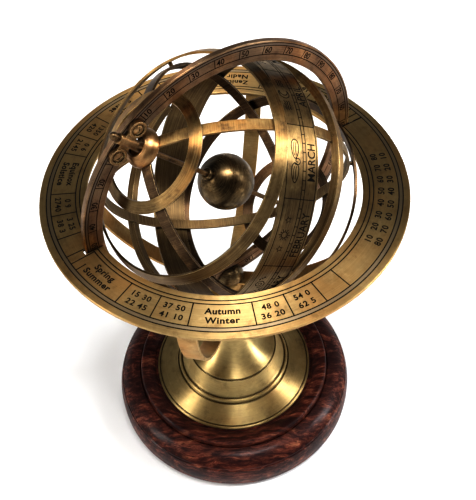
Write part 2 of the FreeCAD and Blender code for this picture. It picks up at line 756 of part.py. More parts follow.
def make_equator_ring():
    """A square ring, let into the colures and thinned where the zodiac band passes."""
    body = make_body("equator_ring", colure_place())
    ring = make_sketch(body, "Ring", "XY_Plane", "-equator_height / 2")
    draw_circle(ring, "equator_radius")
    draw_circle(ring, "equator_bore")
    pad(body, ring, "equator_height")
    depth = "colure_radius + 0.05"
    half = "colure_width / 2 + 0.05"
    notches = make_sketch(body, "Notches", "XY_Plane")
    draw_rectangle(notches, f"-({depth})", depth, f"-({half})", half)
    pocket(body, notches, "equator_height + 1", symmetric=True)
    thinning = make_sketch(body, "Thinning", "XY_Plane")
    inner = "(equator_bore - 1)"
    outer = "sqrt(zodiac_radius^2 + (zodiac_width / 2)^2) + 0.08"
    bulge = math.tan(math.radians(size("thinned_arc") / 2))
    for end in ("", "-"):
        draw_outline(thinning, [
            (f"{end}{inner} * sin(thinned_arc)", f"{end}{inner} * cos(thinned_arc)"),
            (f"{end}({outer}) * sin(thinned_arc)", f"{end}({outer}) * cos(thinned_arc)", bulge),
            (f"{end}({outer}) * sin(-thinned_arc)", f"{end}({outer}) * cos(thinned_arc)"),
            (f"{end}{inner} * sin(-thinned_arc)", f"{end}{inner} * cos(thinned_arc)", -bulge),
        ])
    pocket(body, thinning, "equator_height + 1", symmetric=True)


def make_zodiac_band():
    """A broad strip tilted from the equator, highest at the solstice."""
    tilt = turned(Y_AXIS, -size("zodiac_tilt"))
    turn(make_body("zodiac_band", colure_place().multiply(tilt)), [
        ("zodiac_radius - zodiac_thickness", "-zodiac_width / 2"),
        ("zodiac_radius", "-zodiac_width / 2"),
        ("zodiac_radius", "zodiac_width / 2"),
        ("zodiac_radius - zodiac_thickness", "zodiac_width / 2"),
    ])


def make_hub_cup(name, south):
    """A spun bell on the crossing of the colures, open at its mouth for the clamp."""
    low = "colure_radius - 0.55"
    turn(make_body(name, pole_place(south)), [
        ("cup_radius - 0.9", low),
        ("cup_radius", low),
        ("cup_radius", f"{low} + 0.6", 0.25),
        ("cup_mouth + 1", "cup_top - 0.3", 0.3),
        ("cup_mouth + 0.3", "cup_top"),
        ("cup_mouth", "cup_top"),
        ("cup_mouth", "cup_top - 1", -0.25),
        ("cup_radius - 0.9", f"{low} + 0.5"),
    ])


def make_hub_bush(name, south):
    """The bearing on the rod, riveted through the crossing of the colures."""
    inner = "colure_radius - strip - 0.1"
    turn(make_body(name, pole_place(south)), [
        ("rod_radius + rod_play", f"{inner} - 2.6"),
        ("bush_radius", f"{inner} - 2.6"),
        ("bush_radius", inner),
        ("bush_radius - 1.2", inner),
        ("bush_radius - 1.2", "colure_radius + 1"),
        ("rod_radius + rod_play", "colure_radius + 1"),
    ])


def make_crossing_pins():
    """Pins that hold the tropics off the colures, except where the zodiac lies between."""
    pin = document.addObject("Part::Cylinder", "crossing_pin")
    pin.setExpression("Radius", formula("pin_radius"))
    pin.setExpression("Height", formula("tropic_radius - band - colure_radius"))
    places = []
    for side, open_legs in ((1, (1, 2, 3)), (-1, (0, 1, 3))):
        for leg in open_legs:
            lean = turned(Y_AXIS, 90 - side * size("tropic_latitude"))
            place = colure_place(leg).multiply(lean)
            places.append(place.multiply(shifted(Z_AXIS, "colure_radius")))
    make_group("crossing_pins", pin, places)


# ---------------------------------------------------------------- the whole


def build():
    make_base_felt()
    make_wooden_base()
    make_pedestal_foot()
    make_pedestal_bead()
    make_pedestal_cone()
    make_pedestal_neck()
    make_pedestal_bolt()
    make_pedestal_washer()
    make_upper_cradle_arm()
    make_lower_cradle_arm()
    make_cradle_spacer()
    make_meridian_seat()
    make_horizon_ring()
    make_foot_screws()
    make_meridian_ring()
    make_polar_rod()
    make_clamp_screws()
    make_central_ball()
    make_colure("solstice_colure", 0, "colure_radius - strip - 1", "colure_radius - strip / 2")
    make_colure("equinox_colure", 1, "colure_radius - strip / 2", "colure_radius + 1")
    make_equator_ring()
    make_zodiac_band()
    make_crossing_pins()
    for end, south in (("north", False), ("south", True)):
        make_rod_tip(f"rod_tip_{end}", south)
        make_pole_clamp(f"pole_clamp_{end}", south)
        make_ball_collar(f"ball_collar_{end}", south)
        make_hub_cup(f"hub_cup_{end}", south)
        make_hub_bush(f"hub_bush_{end}", south)
        make_cone_band(f"tropic_{end}", "tropic_latitude", "tropic_radius", south)
    make_cone_band("arctic_circle", "polar_latitude", "polar_radius", False)
    make_cone_band("antarctic_circle", "polar_latitude", "polar_radius", True)
    document.recompute()


def is_sub_part(item):
    """Sub-parts carry their shape in the model and are not the pattern for a group."""
    masters = ("foot_screw", "clamp_screw", "crossing_pin")
    kinds = ("PartDesign::Body", "Part::Cylinder", "Part::Compound")
    return item.TypeId in kinds and item.Name not in masters


def check_and_export():
    """Stop on a broken object, then write one STEP file for each sub-part."""
    for item in document.Objects:
        if "Invalid" in item.State or "Error" in item.State:
            raise RuntimeError(f"{item.Name} is {item.State}")
    os.makedirs(OUT_FOLDER, exist_ok=True)
    for item in filter(is_sub_part, document.Objects):
        shape = item.Shape
        if shape.isNull() or not shape.isValid() or not shape.Solids:
            raise RuntimeError(f"{item.Label} has a bad shape")
        shape.exportStep(f"{OUT_FOLDER}/{item.Label}.step")
        print(item.Label, len(shape.Solids), round(shape.Volume, 1))


build()
check_and_export()
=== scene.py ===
import json
import math
from collections import namedtuple

import bpy
from mathutils import Matrix, Vector


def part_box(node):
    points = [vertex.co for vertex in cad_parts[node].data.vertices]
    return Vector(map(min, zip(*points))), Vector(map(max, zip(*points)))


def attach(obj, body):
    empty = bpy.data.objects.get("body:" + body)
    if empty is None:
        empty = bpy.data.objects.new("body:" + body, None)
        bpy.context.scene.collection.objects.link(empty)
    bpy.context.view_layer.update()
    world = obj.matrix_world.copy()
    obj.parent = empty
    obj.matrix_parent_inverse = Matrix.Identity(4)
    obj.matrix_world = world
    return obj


# The looks of the table armillary sphere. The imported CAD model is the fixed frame. This
# script gives every CAD node its material and adds the engraving as thin dark inlay.
# Lengths are in metres and angles in degrees unless a name or comment says otherwise.

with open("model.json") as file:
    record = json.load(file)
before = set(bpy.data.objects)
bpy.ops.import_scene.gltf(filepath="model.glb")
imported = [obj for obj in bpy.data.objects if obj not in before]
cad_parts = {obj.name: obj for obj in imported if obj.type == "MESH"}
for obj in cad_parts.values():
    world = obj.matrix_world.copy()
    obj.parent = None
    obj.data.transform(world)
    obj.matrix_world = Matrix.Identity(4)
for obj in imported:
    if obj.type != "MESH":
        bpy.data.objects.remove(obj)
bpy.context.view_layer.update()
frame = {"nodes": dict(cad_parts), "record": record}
MM = 0.001
LIFT = 0.03 * MM  # how far the inlay stands off the metal, so that the two don't fight

# ---------------------------------------------------------------- places from the frame


def middle(node):
    """The middle of a CAD node's box."""
    low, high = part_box(node)
    return (Vector(low) + Vector(high)) / 2


def joint_axis(name):
    """The direction that a joint of the record turns about."""
    joints = frame["record"]["behaviour"]["joints"]
    return Vector([joint["axis"] for joint in joints if joint["name"] == name][0])


HORIZON_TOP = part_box("horizon_ring")[1][2]
MERIDIAN_CENTER = middle("meridian_ring")
MERIDIAN_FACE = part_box("meridian_ring")[0][1]
SPHERE_CENTER = middle("central_ball")
POLE = joint_axis("sphere_spin")
POLE_ANGLE = math.atan2(POLE.z, POLE.x)  # radians above the frame's X axis
SOLSTICE = -33  # how far the solstice colure is turned about the pole
ZODIAC_TILT = 23.5
ZODIAC_RADIUS = 64.6 * MM  # outside of the zodiac band, as in the CAD part

# A turned part's center and axes. The third axis is the one that it was turned about.
Turning = namedtuple("Turning", "center axes")

SPHERE_X = Vector((0, 1, 0)).cross(POLE)
SPHERE_AXES = Matrix((SPHERE_X, Vector((0, 1, 0)), POLE)).transposed()
ZODIAC_AXES = (SPHERE_AXES @ Matrix.Rotation(math.radians(SOLSTICE), 3, "Z")
               @ Matrix.Rotation(-math.radians(ZODIAC_TILT), 3, "Y"))
MERIDIAN_AXES = Matrix(((1, 0, 0), (0, 0, 1), (0, -1, 0))).transposed()

UPRIGHT = Turning(Vector((0, 0, 0)), Matrix.Identity(3))
ON_SPHERE = Turning(SPHERE_CENTER, SPHERE_AXES)
ON_ZODIAC = Turning(SPHERE_CENTER, ZODIAC_AXES)
ON_MERIDIAN = Turning(MERIDIAN_CENTER, MERIDIAN_AXES)

# ---------------------------------------------------------------- sizes of the engraving

# A style of letters: the height of capitals, how much the strokes are thickened, how wide
# the letters are for their height, and how far apart they stand.
Lettering = namedtuple("Lettering", "height weight stretch spacing")

# The horizon ring has a double circle outside its lettering band and one inside it.
HORIZON_CIRCLES = [radius * MM for radius in (91.3, 89.2, 76.5, 74.4)]
BAND_OUTER, BAND_INNER = HORIZON_CIRCLES[1:3]
BAND_MIDDLE = 83 * MM  # radius where the letters have their true width
UPPER_ROW, LOWER_ROW = 7.4 * MM, 2.4 * MM  # baselines, inwards from the band's outer circle
HORIZON_LINE_HALF = 0.29 * MM  # half the width of an engraved line
NOTCH_REACH = 81 * MM  # circles inside this radius are cut by the notches
NOTCH_HALF = 1.9 * MM
SHORT_DIVIDERS = (-175.1, -1.0, 4.6)  # angles of the short lines beside the notches
SHORT_DIVIDER_INNER = 83.5 * MM
SCALE_START, SCALE_STEP = -68.0, 5.8  # one step before the open quarter's first number, and the step

NAME = Lettering(height=3.1 * MM, weight=0.030, stretch=1.06, spacing=1.08)
PAIR = Lettering(height=2.8 * MM, weight=0.026, stretch=1.05, spacing=1.12)
DEGREES = Lettering(height=3.0 * MM, weight=0.026, stretch=1.05, spacing=1.12)
BLANK = None  # the style of a cell with nothing in it

# The quarters of the horizon: where each starts, and its cells as (style, width, words).
# The last one is open and holds the scale of degrees.
HORIZON_QUARTERS = [
    (-178.0, [
        (NAME, 20.8, ("Spring", "Summer")),
        (PAIR, 12.0, ("15 30", "22 45")),
        (PAIR, 11.6, ("37 50", "41 10")),
        (NAME, 20.0, ("Autumn", "Winter")),
        (PAIR, 11.3, ("48 0", "36 20")),
        (PAIR, 11.1, ("54 0", "62 5")),
        (BLANK, 9.0, ())]),
    (1.6, [
        (NAME, 19.6, ("Morning", "Evening")),
        (PAIR, 10.5, ("12 40", "18 25")),
        (PAIR, 10.4, ("26 15", "31 0")),
        (NAME, 19.6, ("Zenith", "Nadir")),
        (PAIR, 10.3, ("43 30", "50 10")),
        (PAIR, 10.2, ("57 0", "64 20")),
        (BLANK, 8.7, ())]),
    (90.9, [
        (NAME, 19.8, ("Sunrise", "Sunset")),
        (PAIR, 10.5, ("1350", "420")),
        (PAIR, 9.9, ("0 6", "2145")),
        (NAME, 19.6, ("Equinox", "Solstice")),
        (PAIR, 9.8, ("0 9", "2740")),
        (PAIR, 10.3, ("3 25", "38 3")),
        (BLANK, 8.0, ())]),
    (-82.2, [(BLANK, 81.0, ())]),
]

MERIDIAN_CIRCLES = [radius * MM for radius in (78.9, 77.6, 73.2)]
MERIDIAN_MIDDLE = 75 * MM  # radius where the numbers have their true width
MERIDIAN_LINE_HALF = 0.2 * MM
MERIDIAN_STEP = 10
MERIDIAN_BASELINE = 73.9 * MM
MERIDIAN_NUMBER_SHIFT = 2.3  # from a line to the middle of its number
MERIDIAN_NUMBER = Lettering(height=2.9 * MM, weight=0.018, stretch=0.95, spacing=1.0)

MONTHS = ["APRIL", "MAY", "JUNE", "JULY", "AUGUST", "SEPTEMBER",
          "OCTOBER", "NOVEMBER", "DECEMBER", "JANUARY", "FEBRUARY", "MARCH"]
ZODIAC_CELL = 360 / len(MONTHS)
ZODIAC_DIVISIONS = 8  # parts that the scale cuts each cell into
ZODIAC_LINES = [height * MM for height in (7.4, -1.3, -3.0, -8.9)]  # heights on the band
ZODIAC_LINE_HALF = 0.19 * MM
MONTH = Lettering(height=4.0 * MM, weight=0.010, stretch=0.86, spacing=1.0)
MONTH_BASELINE = -8.0 * MM
MONTH_ROOM = 7.5  # letters that a cell holds at their full width

FIGURE_HEIGHT = 3.0 * MM  # where the middle of an ornament lies on the band
STROKE = 0.42 * MM
LIGHT_STROKE = 0.9 * STROKE
FINE_STROKE = 0.8 * STROKE

# ---------------------------------------------------------------- material building blocks

# Sockets of a Mix node that mixes colors. Their names are shared with its other sockets.
MIX_FACTOR, MIX_FIRST, MIX_SECOND, MIX_RESULT = 0, 6, 7, 2


def fill_ramp(ramp, stops):
    """Give a color ramp its stops, a list of (position, color)."""
    while len(ramp.elements) < len(stops):
        ramp.elements.new(0.5)
    for element, (position, color) in zip(ramp.elements, stops):
        element.position = position
        element.color = (*color, 1)


def opaque(color):
    """A plain color with its alpha. A linked socket stays as it is."""
    return (*color, 1) if isinstance(color, tuple) else color


def shaded(color, share):
    """The color at a share of its brightness."""
    return tuple(share * channel for channel in color)


def between(first, second, share):
    """The color that lies that share of the way from the first to the second."""
    return tuple((1 - share) * a + share * b for a, b in zip(first, second))


class Graph:
    """A material with short calls to add and join its nodes."""

    def __init__(self, name):
        self.material = bpy.data.materials.new(name)
        self.material.use_nodes = True
        self.tree = self.material.node_tree
        self.tree.nodes.clear()

    def add(self, kind, inputs=None, **settings):
        """A new node. Each input is a value, or a socket to link to it."""
        node = self.tree.nodes.new(kind)
        for name, value in settings.items():
            setattr(node, name, value)
        for name, value in (inputs or {}).items():
            if isinstance(value, bpy.types.NodeSocket):
                self.tree.links.new(value, node.inputs[name])
            else:
                node.inputs[name].default_value = value
        return node

    def place(self):
        """Where the shaded point lies in the frame when the object is at rest."""
        return self.add("ShaderNodeTexCoord").outputs["Object"]

    def math(self, operation, first, second=0.0):
        return self.add("ShaderNodeMath", {0: first, 1: second}, operation=operation).outputs[0]

    def vector_math(self, operation, *vectors, output="Vector"):
        """The result of a vector operation. A number comes from the output "Value"."""
        node = self.add("ShaderNodeVectorMath", dict(enumerate(vectors)), operation=operation)
        return node.outputs[output]

    def ramp(self, value, stops):
        """The color of a ramp at the value."""
        node = self.add("ShaderNodeValToRGB", {"Fac": value})
        fill_ramp(node.color_ramp, stops)
        return node.outputs["Color"]

    def remap(self, value, low, high, at_low=0.0, at_high=1.0):
        """The value's way from low to high, as a number between at_low and at_high."""
        node = self.add("ShaderNodeMapRange", {
            "Value": value, "From Min": low, "From Max": high,
            "To Min": at_low, "To Max": at_high})
        return node.outputs[0]

    def mix(self, factor, first, second, blend="MIX"):
        """Two colors mixed: all of the first at a factor of 0."""
        inputs = {MIX_FACTOR: factor, MIX_FIRST: opaque(first), MIX_SECOND: opaque(second)}
        node = self.add("ShaderNodeMix", inputs, data_type="RGBA", blend_type=blend)
        return node.outputs[MIX_RESULT]

    def noise(self, vector, scale=1.0, detail=4.0, roughness=0.55):
        """Soft noise from 0 to 1. scale is how many lumps there are to a metre."""
        return self.add("ShaderNodeTexNoise", {
            "Vector": vector, "Scale": scale, "Detail": detail, "Roughness": roughness}).outputs["Fac"]

    def bump(self, height, strength, distance, normal=None):
        """The normal of a surface with this relief, distance deep."""
        inputs = {"Height": height, "Strength": strength, "Distance": distance}
        if normal is not None:
            inputs["Normal"] = normal
        return self.add("ShaderNodeBump", inputs).outputs["Normal"]

    def finish(self, inputs):
        """Shade the surface with these inputs and return the material."""
        shader = self.add("ShaderNodeBsdfPrincipled", inputs)
        self.add("ShaderNodeOutputMaterial", {"Surface": shader.outputs[0]})
        return self.material


# ---------------------------------------------------------------- aged brass

# Brass by its dark, middle and light color.
GOLD = ((0.28, 0.186, 0.082), (0.45, 0.315, 0.142), (0.60, 0.44, 0.215))
OLIVE = ((0.32, 0.235, 0.108), (0.52, 0.39, 0.180), (0.66, 0.51, 0.250))
BROWN = ((0.050, 0.031, 0.018), (0.170, 0.110, 0.056), (0.38, 0.265, 0.130))
UMBER = ((0.020, 0.013, 0.009), (0.085, 0.054, 0.031), (0.26, 0.165, 0.084))
RED_BROWN = ((0.075, 0.045, 0.029), (0.185, 0.121, 0.074), (0.35, 0.245, 0.150))
COPPER = ((0.11, 0.060, 0.030), (0.31, 0.190, 0.090), (0.56, 0.38, 0.180))
DARK = ((0.015, 0.010, 0.007), (0.11, 0.078, 0.040), (0.38, 0.285, 0.15))
TAN = ((0.075, 0.048, 0.024), (0.31, 0.212, 0.094), (0.56, 0.42, 0.195))
WARM_TINT = (1.05, 0.76, 0.52)

# How fast the marks change, per metre of radius or height and per radian of angle.
TURNED_RATES = (2600, 2.2, 2600)  # by radius, angle, height
SCRATCH_RATES = (9, 900, 900)  # by angle, radius, height

# how far nearby surfaces reach when shade is painted into the corners
CORNER_SHADE_REACH = 1.8 * MM
# radius of the edge rounding, for the normal and for the painted highlight on the edges
EDGE_ROUNDING = 0.35 * MM
TURNED_RELIEF = 0.02 * MM
STREAK_LIGHT, STREAK_DARK = 0.192, 0.264  # how far the turning marks go to light and to dark
# heights where the painted shade lower down starts and where it is full
LOW_SHADE_TOP, LOW_SHADE_FULL = HORIZON_TOP + 62 * MM, HORIZON_TOP + 22 * MM
LOW_SHADE_RAGGED = 12 * MM  # how far the clouds push the painted shade up and down


def ring_coordinates(graph, turning):
    """Radius, angle in radians and height of a point about the turning axis."""
    offset = graph.vector_math("SUBTRACT", graph.place(), turning.center)
    across, along, height = [graph.vector_math("DOT_PRODUCT", offset, axis, output="Value")
                             for axis in turning.axes.transposed()]
    radius = graph.math("SQRT", graph.math("ADD", graph.math("MULTIPLY", across, across),
                                           graph.math("MULTIPLY", along, along)))
    return radius, graph.math("ARCTAN2", along, across), height


def turning_direction(graph, turning):
    """The direction of the turning marks: along circles about the turning axis."""
    offset = graph.vector_math("SUBTRACT", graph.place(), turning.center)
    along = graph.vector_math("CROSS_PRODUCT", turning.axes.col[2], offset)
    return graph.add("ShaderNodeVectorTransform", {"Vector": along}, vector_type="VECTOR",
                     convert_from="OBJECT", convert_to="WORLD").outputs[0]


def fine_marks(graph, parts, rates, detail, roughness):
    """Noise drawn out into marks: each coordinate changes at its own rate."""
    x, y, z = [graph.math("MULTIPLY", part, rate) for part, rate in zip(parts, rates)]
    vector = graph.add("ShaderNodeCombineXYZ", {"X": x, "Y": y, "Z": z}).outputs[0]
    return graph.noise(vector, detail=detail, roughness=roughness)


def warm_patches(graph, tone, warm):
    """Patches that go to orange."""
    patches = graph.noise(graph.place(), scale=21, detail=3, roughness=0.6)
    return graph.mix(graph.remap(patches, 0.44, 0.60, 0.0, warm), tone, WARM_TINT, "MULTIPLY")


def smoky_stretches(graph, tone, dark, smoke):
    """Longer stretches that are darker than the dark of the patina."""
    stretches = graph.noise(graph.place(), scale=32, detail=4, roughness=0.62)
    return graph.mix(graph.remap(stretches, 0.47, 0.62, 0.0, smoke), tone, shaded(dark, 0.5))


def browning(graph, tone, dark, clouds):
    """Painted shade: the rings go darker lower down. The clouds make its edge ragged."""
    height = graph.add("ShaderNodeSeparateXYZ", {0: graph.place()}).outputs["Z"]
    push = graph.remap(clouds, 0.3, 0.7, -LOW_SHADE_RAGGED, LOW_SHADE_RAGGED)
    ragged = graph.math("ADD", height, push)
    shade_depth = graph.remap(ragged, LOW_SHADE_TOP, LOW_SHADE_FULL, 0.0, 0.85)
    return graph.mix(shade_depth, tone, shaded(dark, 1.2))


def specks(graph, tone, dark, patina):
    """Small dark specks."""
    spots = graph.noise(graph.place(), scale=420, detail=3, roughness=0.6)
    return graph.mix(graph.remap(spots, 0.56, 0.70, 0.0, 0.5 * patina), tone, dark)


def corner_grime(graph, tone, dark):
    """Painted shade: darker in the corners, where nearby surfaces close in."""
    nearby = graph.add("ShaderNodeAmbientOcclusion", {"Distance": CORNER_SHADE_REACH}, samples=6)
    shade_depth = graph.remap(nearby.outputs["AO"], 0.35, 0.85, 0.95, 0.0)
    return graph.mix(shade_depth, tone, shaded(dark, 0.12))


def streaks(graph, tone, turned, dark, light):
    """Turning marks that are lighter or darker than the metal between them."""
    tone = graph.mix(graph.remap(turned, 0.50, 0.66, 0.0, STREAK_LIGHT), tone, light)
    return graph.mix(graph.remap(turned, 0.50, 0.36, 0.0, STREAK_DARK), tone, dark)


def polished_edges(graph, tone, light, rounded):
    """Edges painted lighter: partly wear from handling, partly painted highlight. rounded is the
    normal of the rounded edge.
    """
    facing = graph.add("ShaderNodeNewGeometry").outputs["Normal"]
    evenness = graph.vector_math("DOT_PRODUCT", rounded, facing, output="Value")
    gold = between(light, GOLD[2], 0.6)
    return graph.mix(graph.remap(evenness, 0.98, 0.80, 0.0, 0.85), tone, gold)


def gray_stripe(graph, tone, base, radius, stripe):
    """A grayer stripe between two radii."""
    inner, outer = stripe
    inside = graph.math("MULTIPLY", graph.math("GREATER_THAN", radius, inner),
                        graph.math("LESS_THAN", radius, outer))
    mean = sum(base) / 3
    gray = tuple(0.30 * mean + 0.45 * channel for channel in base)
    return graph.mix(graph.math("MULTIPLY", inside, 0.75), tone, gray)


def aged_brass(name, colors, turning, roughness, patina=0.5, warm=0.8, smoke=0.3, sheen=0.9,
               stripe=None, low_shade=False):
    """Old lacquered brass, turned or brushed round an axis, with brown patina clouds.

    patina is how strong the specks and the dull clouds are, warm how far some patches go
    to orange, smoke how strong the dark stretches are, and sheen how much the turning
    marks stretch a highlight. stripe is the (inner, outer) radius of a gray stripe."""
    graph = Graph(name)
    dark, base, light = colors
    radius, angle, height = ring_coordinates(graph, turning)
    clouds = graph.noise(graph.place(), scale=95, detail=8, roughness=0.70)
    turned = fine_marks(graph, (radius, angle, height), TURNED_RATES, detail=3, roughness=0.6)
    scratches = fine_marks(graph, (angle, radius, height), SCRATCH_RATES, detail=2, roughness=0.5)
    rounded = graph.add("ShaderNodeBevel", {"Radius": EDGE_ROUNDING}, samples=4).outputs[0]

    tone = graph.ramp(clouds, [(0.32, dark), (0.47, base), (0.54, base), (0.70, light)])
    tone = warm_patches(graph, tone, warm)
    tone = smoky_stretches(graph, tone, dark, smoke)
    # painted shade, darker lower down
    if low_shade:
        tone = browning(graph, tone, dark, clouds)
    tone = specks(graph, tone, dark, patina)
    # painted shade in the corners
    tone = corner_grime(graph, tone, dark)
    tone = streaks(graph, tone, turned, dark, light)
    # edges painted lighter: wear and painted highlight
    tone = polished_edges(graph, tone, light, rounded)
    if stripe:
        tone = gray_stripe(graph, tone, base, radius, stripe)

    dullness = graph.remap(clouds, 0.3, 0.75, roughness + 0.14 * patina, roughness - 0.06)
    dullness = graph.math("ADD", dullness, graph.remap(turned, 0.3, 0.7, -0.03, 0.05))
    relief = graph.math("ADD", graph.math("MULTIPLY", turned, 0.6),
                        graph.math("MULTIPLY", scratches, 0.5))
    return graph.finish({
        "Base Color": tone, "Metallic": 1.0, "Roughness": dullness,
        "Normal": graph.bump(relief, 0.22, TURNED_RELIEF, rounded),
        "Anisotropic": sheen, "Anisotropic Rotation": 0.25,
        "Tangent": turning_direction(graph, turning)})


# ---------------------------------------------------------------- the brass of each part


def pedestal_brass():
    return aged_brass("spun_pedestal_brass", OLIVE, UPRIGHT, 0.42, patina=0.15, warm=0.35)


def cradle_brass():
    return aged_brass("cradle_brass", GOLD, UPRIGHT, 0.42, patina=0.6)


def horizon_brass():
    return aged_brass("horizon_brass", GOLD, UPRIGHT, 0.46, warm=0.5, sheen=0.78,
                      stripe=(BAND_OUTER, HORIZON_CIRCLES[0]))


def seat_brass():
    return aged_brass("seat_brass", DARK, UPRIGHT, 0.36, patina=0.6, sheen=0.3)


def meridian_brass():
    return aged_brass("meridian_brass", RED_BROWN, ON_MERIDIAN, 0.36, patina=0.6, smoke=0.45,
                      stripe=(MERIDIAN_CIRCLES[1], MERIDIAN_CIRCLES[0]))


def rod_brass():
    return aged_brass("rod_brass", BROWN, ON_SPHERE, 0.36, patina=0.6)


def copper_fittings():
    return aged_brass("copper_fittings", COPPER, ON_SPHERE, 0.32, patina=0.7, sheen=0.6)


def ball_brass():
    return aged_brass("dark_turned_brass", DARK, ON_SPHERE, 0.27, patina=1.0, warm=0.4,
                      smoke=0.85, sheen=0.3)


def pin_brass():
    return aged_brass("band_brass", BROWN, ON_SPHERE, 0.44, patina=0.6)


def tan_band_brass():
    return aged_brass("tan_band_brass", TAN, ON_SPHERE, 0.36, warm=0.9, smoke=0.7, low_shade=True)


def dark_band_brass():
    return aged_brass("dark_band_brass", UMBER, ON_SPHERE, 0.34, patina=0.6, warm=0.6, smoke=0.6)


def zodiac_brass():
    return aged_brass("zodiac_brass", TAN, ON_ZODIAC, 0.38, patina=0.7, warm=0.3, smoke=0.7,
                      sheen=0.95, low_shade=True)


# ---------------------------------------------------------------- the other materials

GRAIN_TURN = -32  # direction of the wood's grain from the frame's X axis


def engraving_black():
    """The blackened filling of the engraving."""
    graph = Graph("engraving_black")
    wear = graph.noise(graph.place(), scale=700, detail=4, roughness=0.6)
    tone = graph.ramp(wear, [(0.35, (0.0025, 0.002, 0.0015)), (0.75, (0.012, 0.009, 0.006))])
    return graph.finish({
        "Base Color": tone,
        "Roughness": 0.9, "Specular IOR Level": 0.05,
        "Normal": graph.bump(wear, 0.3, 0.05 * MM)})


def along_grain(graph, place, lengthwise, crosswise):
    """Coordinates stretched along the grain, by how fast they change each way."""
    return graph.add("ShaderNodeMapping", {
        "Vector": place, "Rotation": (0, 0, math.radians(GRAIN_TURN)),
        "Scale": (1 / lengthwise, 1 / crosswise, 1 / crosswise)}, vector_type="TEXTURE").outputs[0]


def rosewood():
    """Dark figured rosewood under thin lacquer. Its grain is broken by darker clouds."""
    graph = Graph("polished_rosewood")
    place = graph.place()
    drift = graph.add("ShaderNodeTexNoise", {"Vector": place, "Scale": 45.0}).outputs["Color"]
    bent = graph.mix(0.010, place, drift, "ADD")
    figure = graph.noise(along_grain(graph, bent, 55, 330), detail=8, roughness=0.70)
    clouds = graph.noise(along_grain(graph, bent, 30, 75), detail=5, roughness=0.65)
    pores = graph.noise(along_grain(graph, place, 160, 1500), detail=3, roughness=0.55)
    tone = graph.ramp(figure, [
        (0.34, (0.010, 0.0025, 0.002)), (0.47, (0.050, 0.012, 0.008)),
        (0.57, (0.140, 0.038, 0.022)), (0.70, (0.340, 0.135, 0.072))])
    tone = graph.mix(graph.remap(clouds, 0.45, 0.58, 0.0, 0.85), tone, (0.016, 0.004, 0.004))
    tone = graph.mix(graph.remap(pores, 0.55, 0.68, 0.0, 0.75), tone, (0.004, 0.002, 0.002))
    return graph.finish({
        "Base Color": tone, "Roughness": graph.remap(figure, 0.3, 0.7, 0.5, 0.4),
        "Normal": graph.bump(pores, 0.15, 0.08 * MM), "Specular IOR Level": 0.12,
        "Coat Weight": 0.12, "Coat Roughness": 0.2})


def green_felt():
    """Dark green felt with short fibres."""
    graph = Graph("green_felt")
    fibres = graph.noise(graph.place(), scale=900, detail=6, roughness=0.7)
    tone = graph.ramp(fibres, [(0.3, (0.006, 0.020, 0.012)), (0.7, (0.020, 0.055, 0.034))])
    return graph.finish({
        "Base Color": tone, "Roughness": 0.95, "Sheen Weight": 0.3,
        "Normal": graph.bump(fibres, 0.6, 0.3 * MM)})


def zinc_steel():
    """Zinc plated steel with the pale spangle of its crystals."""
    graph = Graph("zinc_steel")
    cells = graph.add("ShaderNodeTexVoronoi", {"Vector": graph.place(), "Scale": 700.0})
    crystals = cells.outputs["Distance"]
    return graph.finish({
        "Base Color": graph.ramp(crystals, [(0.0, (0.32, 0.32, 0.33)), (1.0, (0.55, 0.55, 0.56))]),
        "Metallic": 1.0, "Roughness": graph.remap(crystals, 0, 1, 0.3, 0.5)})


# ---------------------------------------------------------------- dressing the CAD nodes

NODES_BY_MATERIAL = {
    rosewood: ["wooden_base"],
    green_felt: ["base_felt"],
    zinc_steel: ["pedestal_bolt", "pedestal_washer"],
    pedestal_brass: ["pedestal_foot", "pedestal_bead", "pedestal_cone", "pedestal_neck"],
    cradle_brass: ["lower_cradle_arm", "upper_cradle_arm", "cradle_spacer", "foot_screws"],
    horizon_brass: ["horizon_ring"],
    seat_brass: ["meridian_seat"],
    meridian_brass: ["meridian_ring"],
    rod_brass: ["polar_rod", "rod_tip_north", "rod_tip_south"],
    copper_fittings: ["pole_clamp_north", "pole_clamp_south", "hub_cup_north", "hub_cup_south",
                      "clamp_screws"],
    ball_brass: ["central_ball", "ball_collar_north", "ball_collar_south"],
    pin_brass: ["crossing_pins"],
    tan_band_brass: ["arctic_circle", "equator_ring", "tropic_north", "solstice_colure"],
    dark_band_brass: ["equinox_colure", "antarctic_circle", "tropic_south",
                      "hub_bush_north", "hub_bush_south"],
    zodiac_brass: ["zodiac_band"],
}


def dress_frame():
    """Give every CAD node its material."""
    for make_material, nodes in NODES_BY_MATERIAL.items():
        material = make_material()
        for name in nodes:
            for slot in frame["nodes"][name].material_slots:
                slot.link = "OBJECT"
                slot.material = material


# ---------------------------------------------------------------- drawing the engraving


def add_object(name, data):
    """A new object in the scene that shows the data."""
    piece = bpy.data.objects.new(name, data)
    bpy.context.collection.objects.link(piece)
    return piece


def flat_words(words, weight, spacing):
    """The points and faces of some words in the built-in font at size 1."""
    curve = bpy.data.curves.new("words", "FONT")
    curve.body = words
    curve.offset = weight
    curve.resolution_u = 3
    curve.space_character = spacing
    holder = add_object("words", curve)
    bpy.context.view_layer.update()
    mesh = bpy.data.meshes.new_from_object(holder)
    points = [(vertex.co.x, vertex.co.y) for vertex in mesh.vertices]
    faces = [tuple(polygon.vertices) for polygon in mesh.polygons]
    bpy.data.objects.remove(holder)
    bpy.data.curves.remove(curve)
    bpy.data.meshes.remove(mesh)
    return points, faces


CAPITAL_HEIGHT = max(y for _, y in flat_words("H", weight=0.0, spacing=1.0)[0])


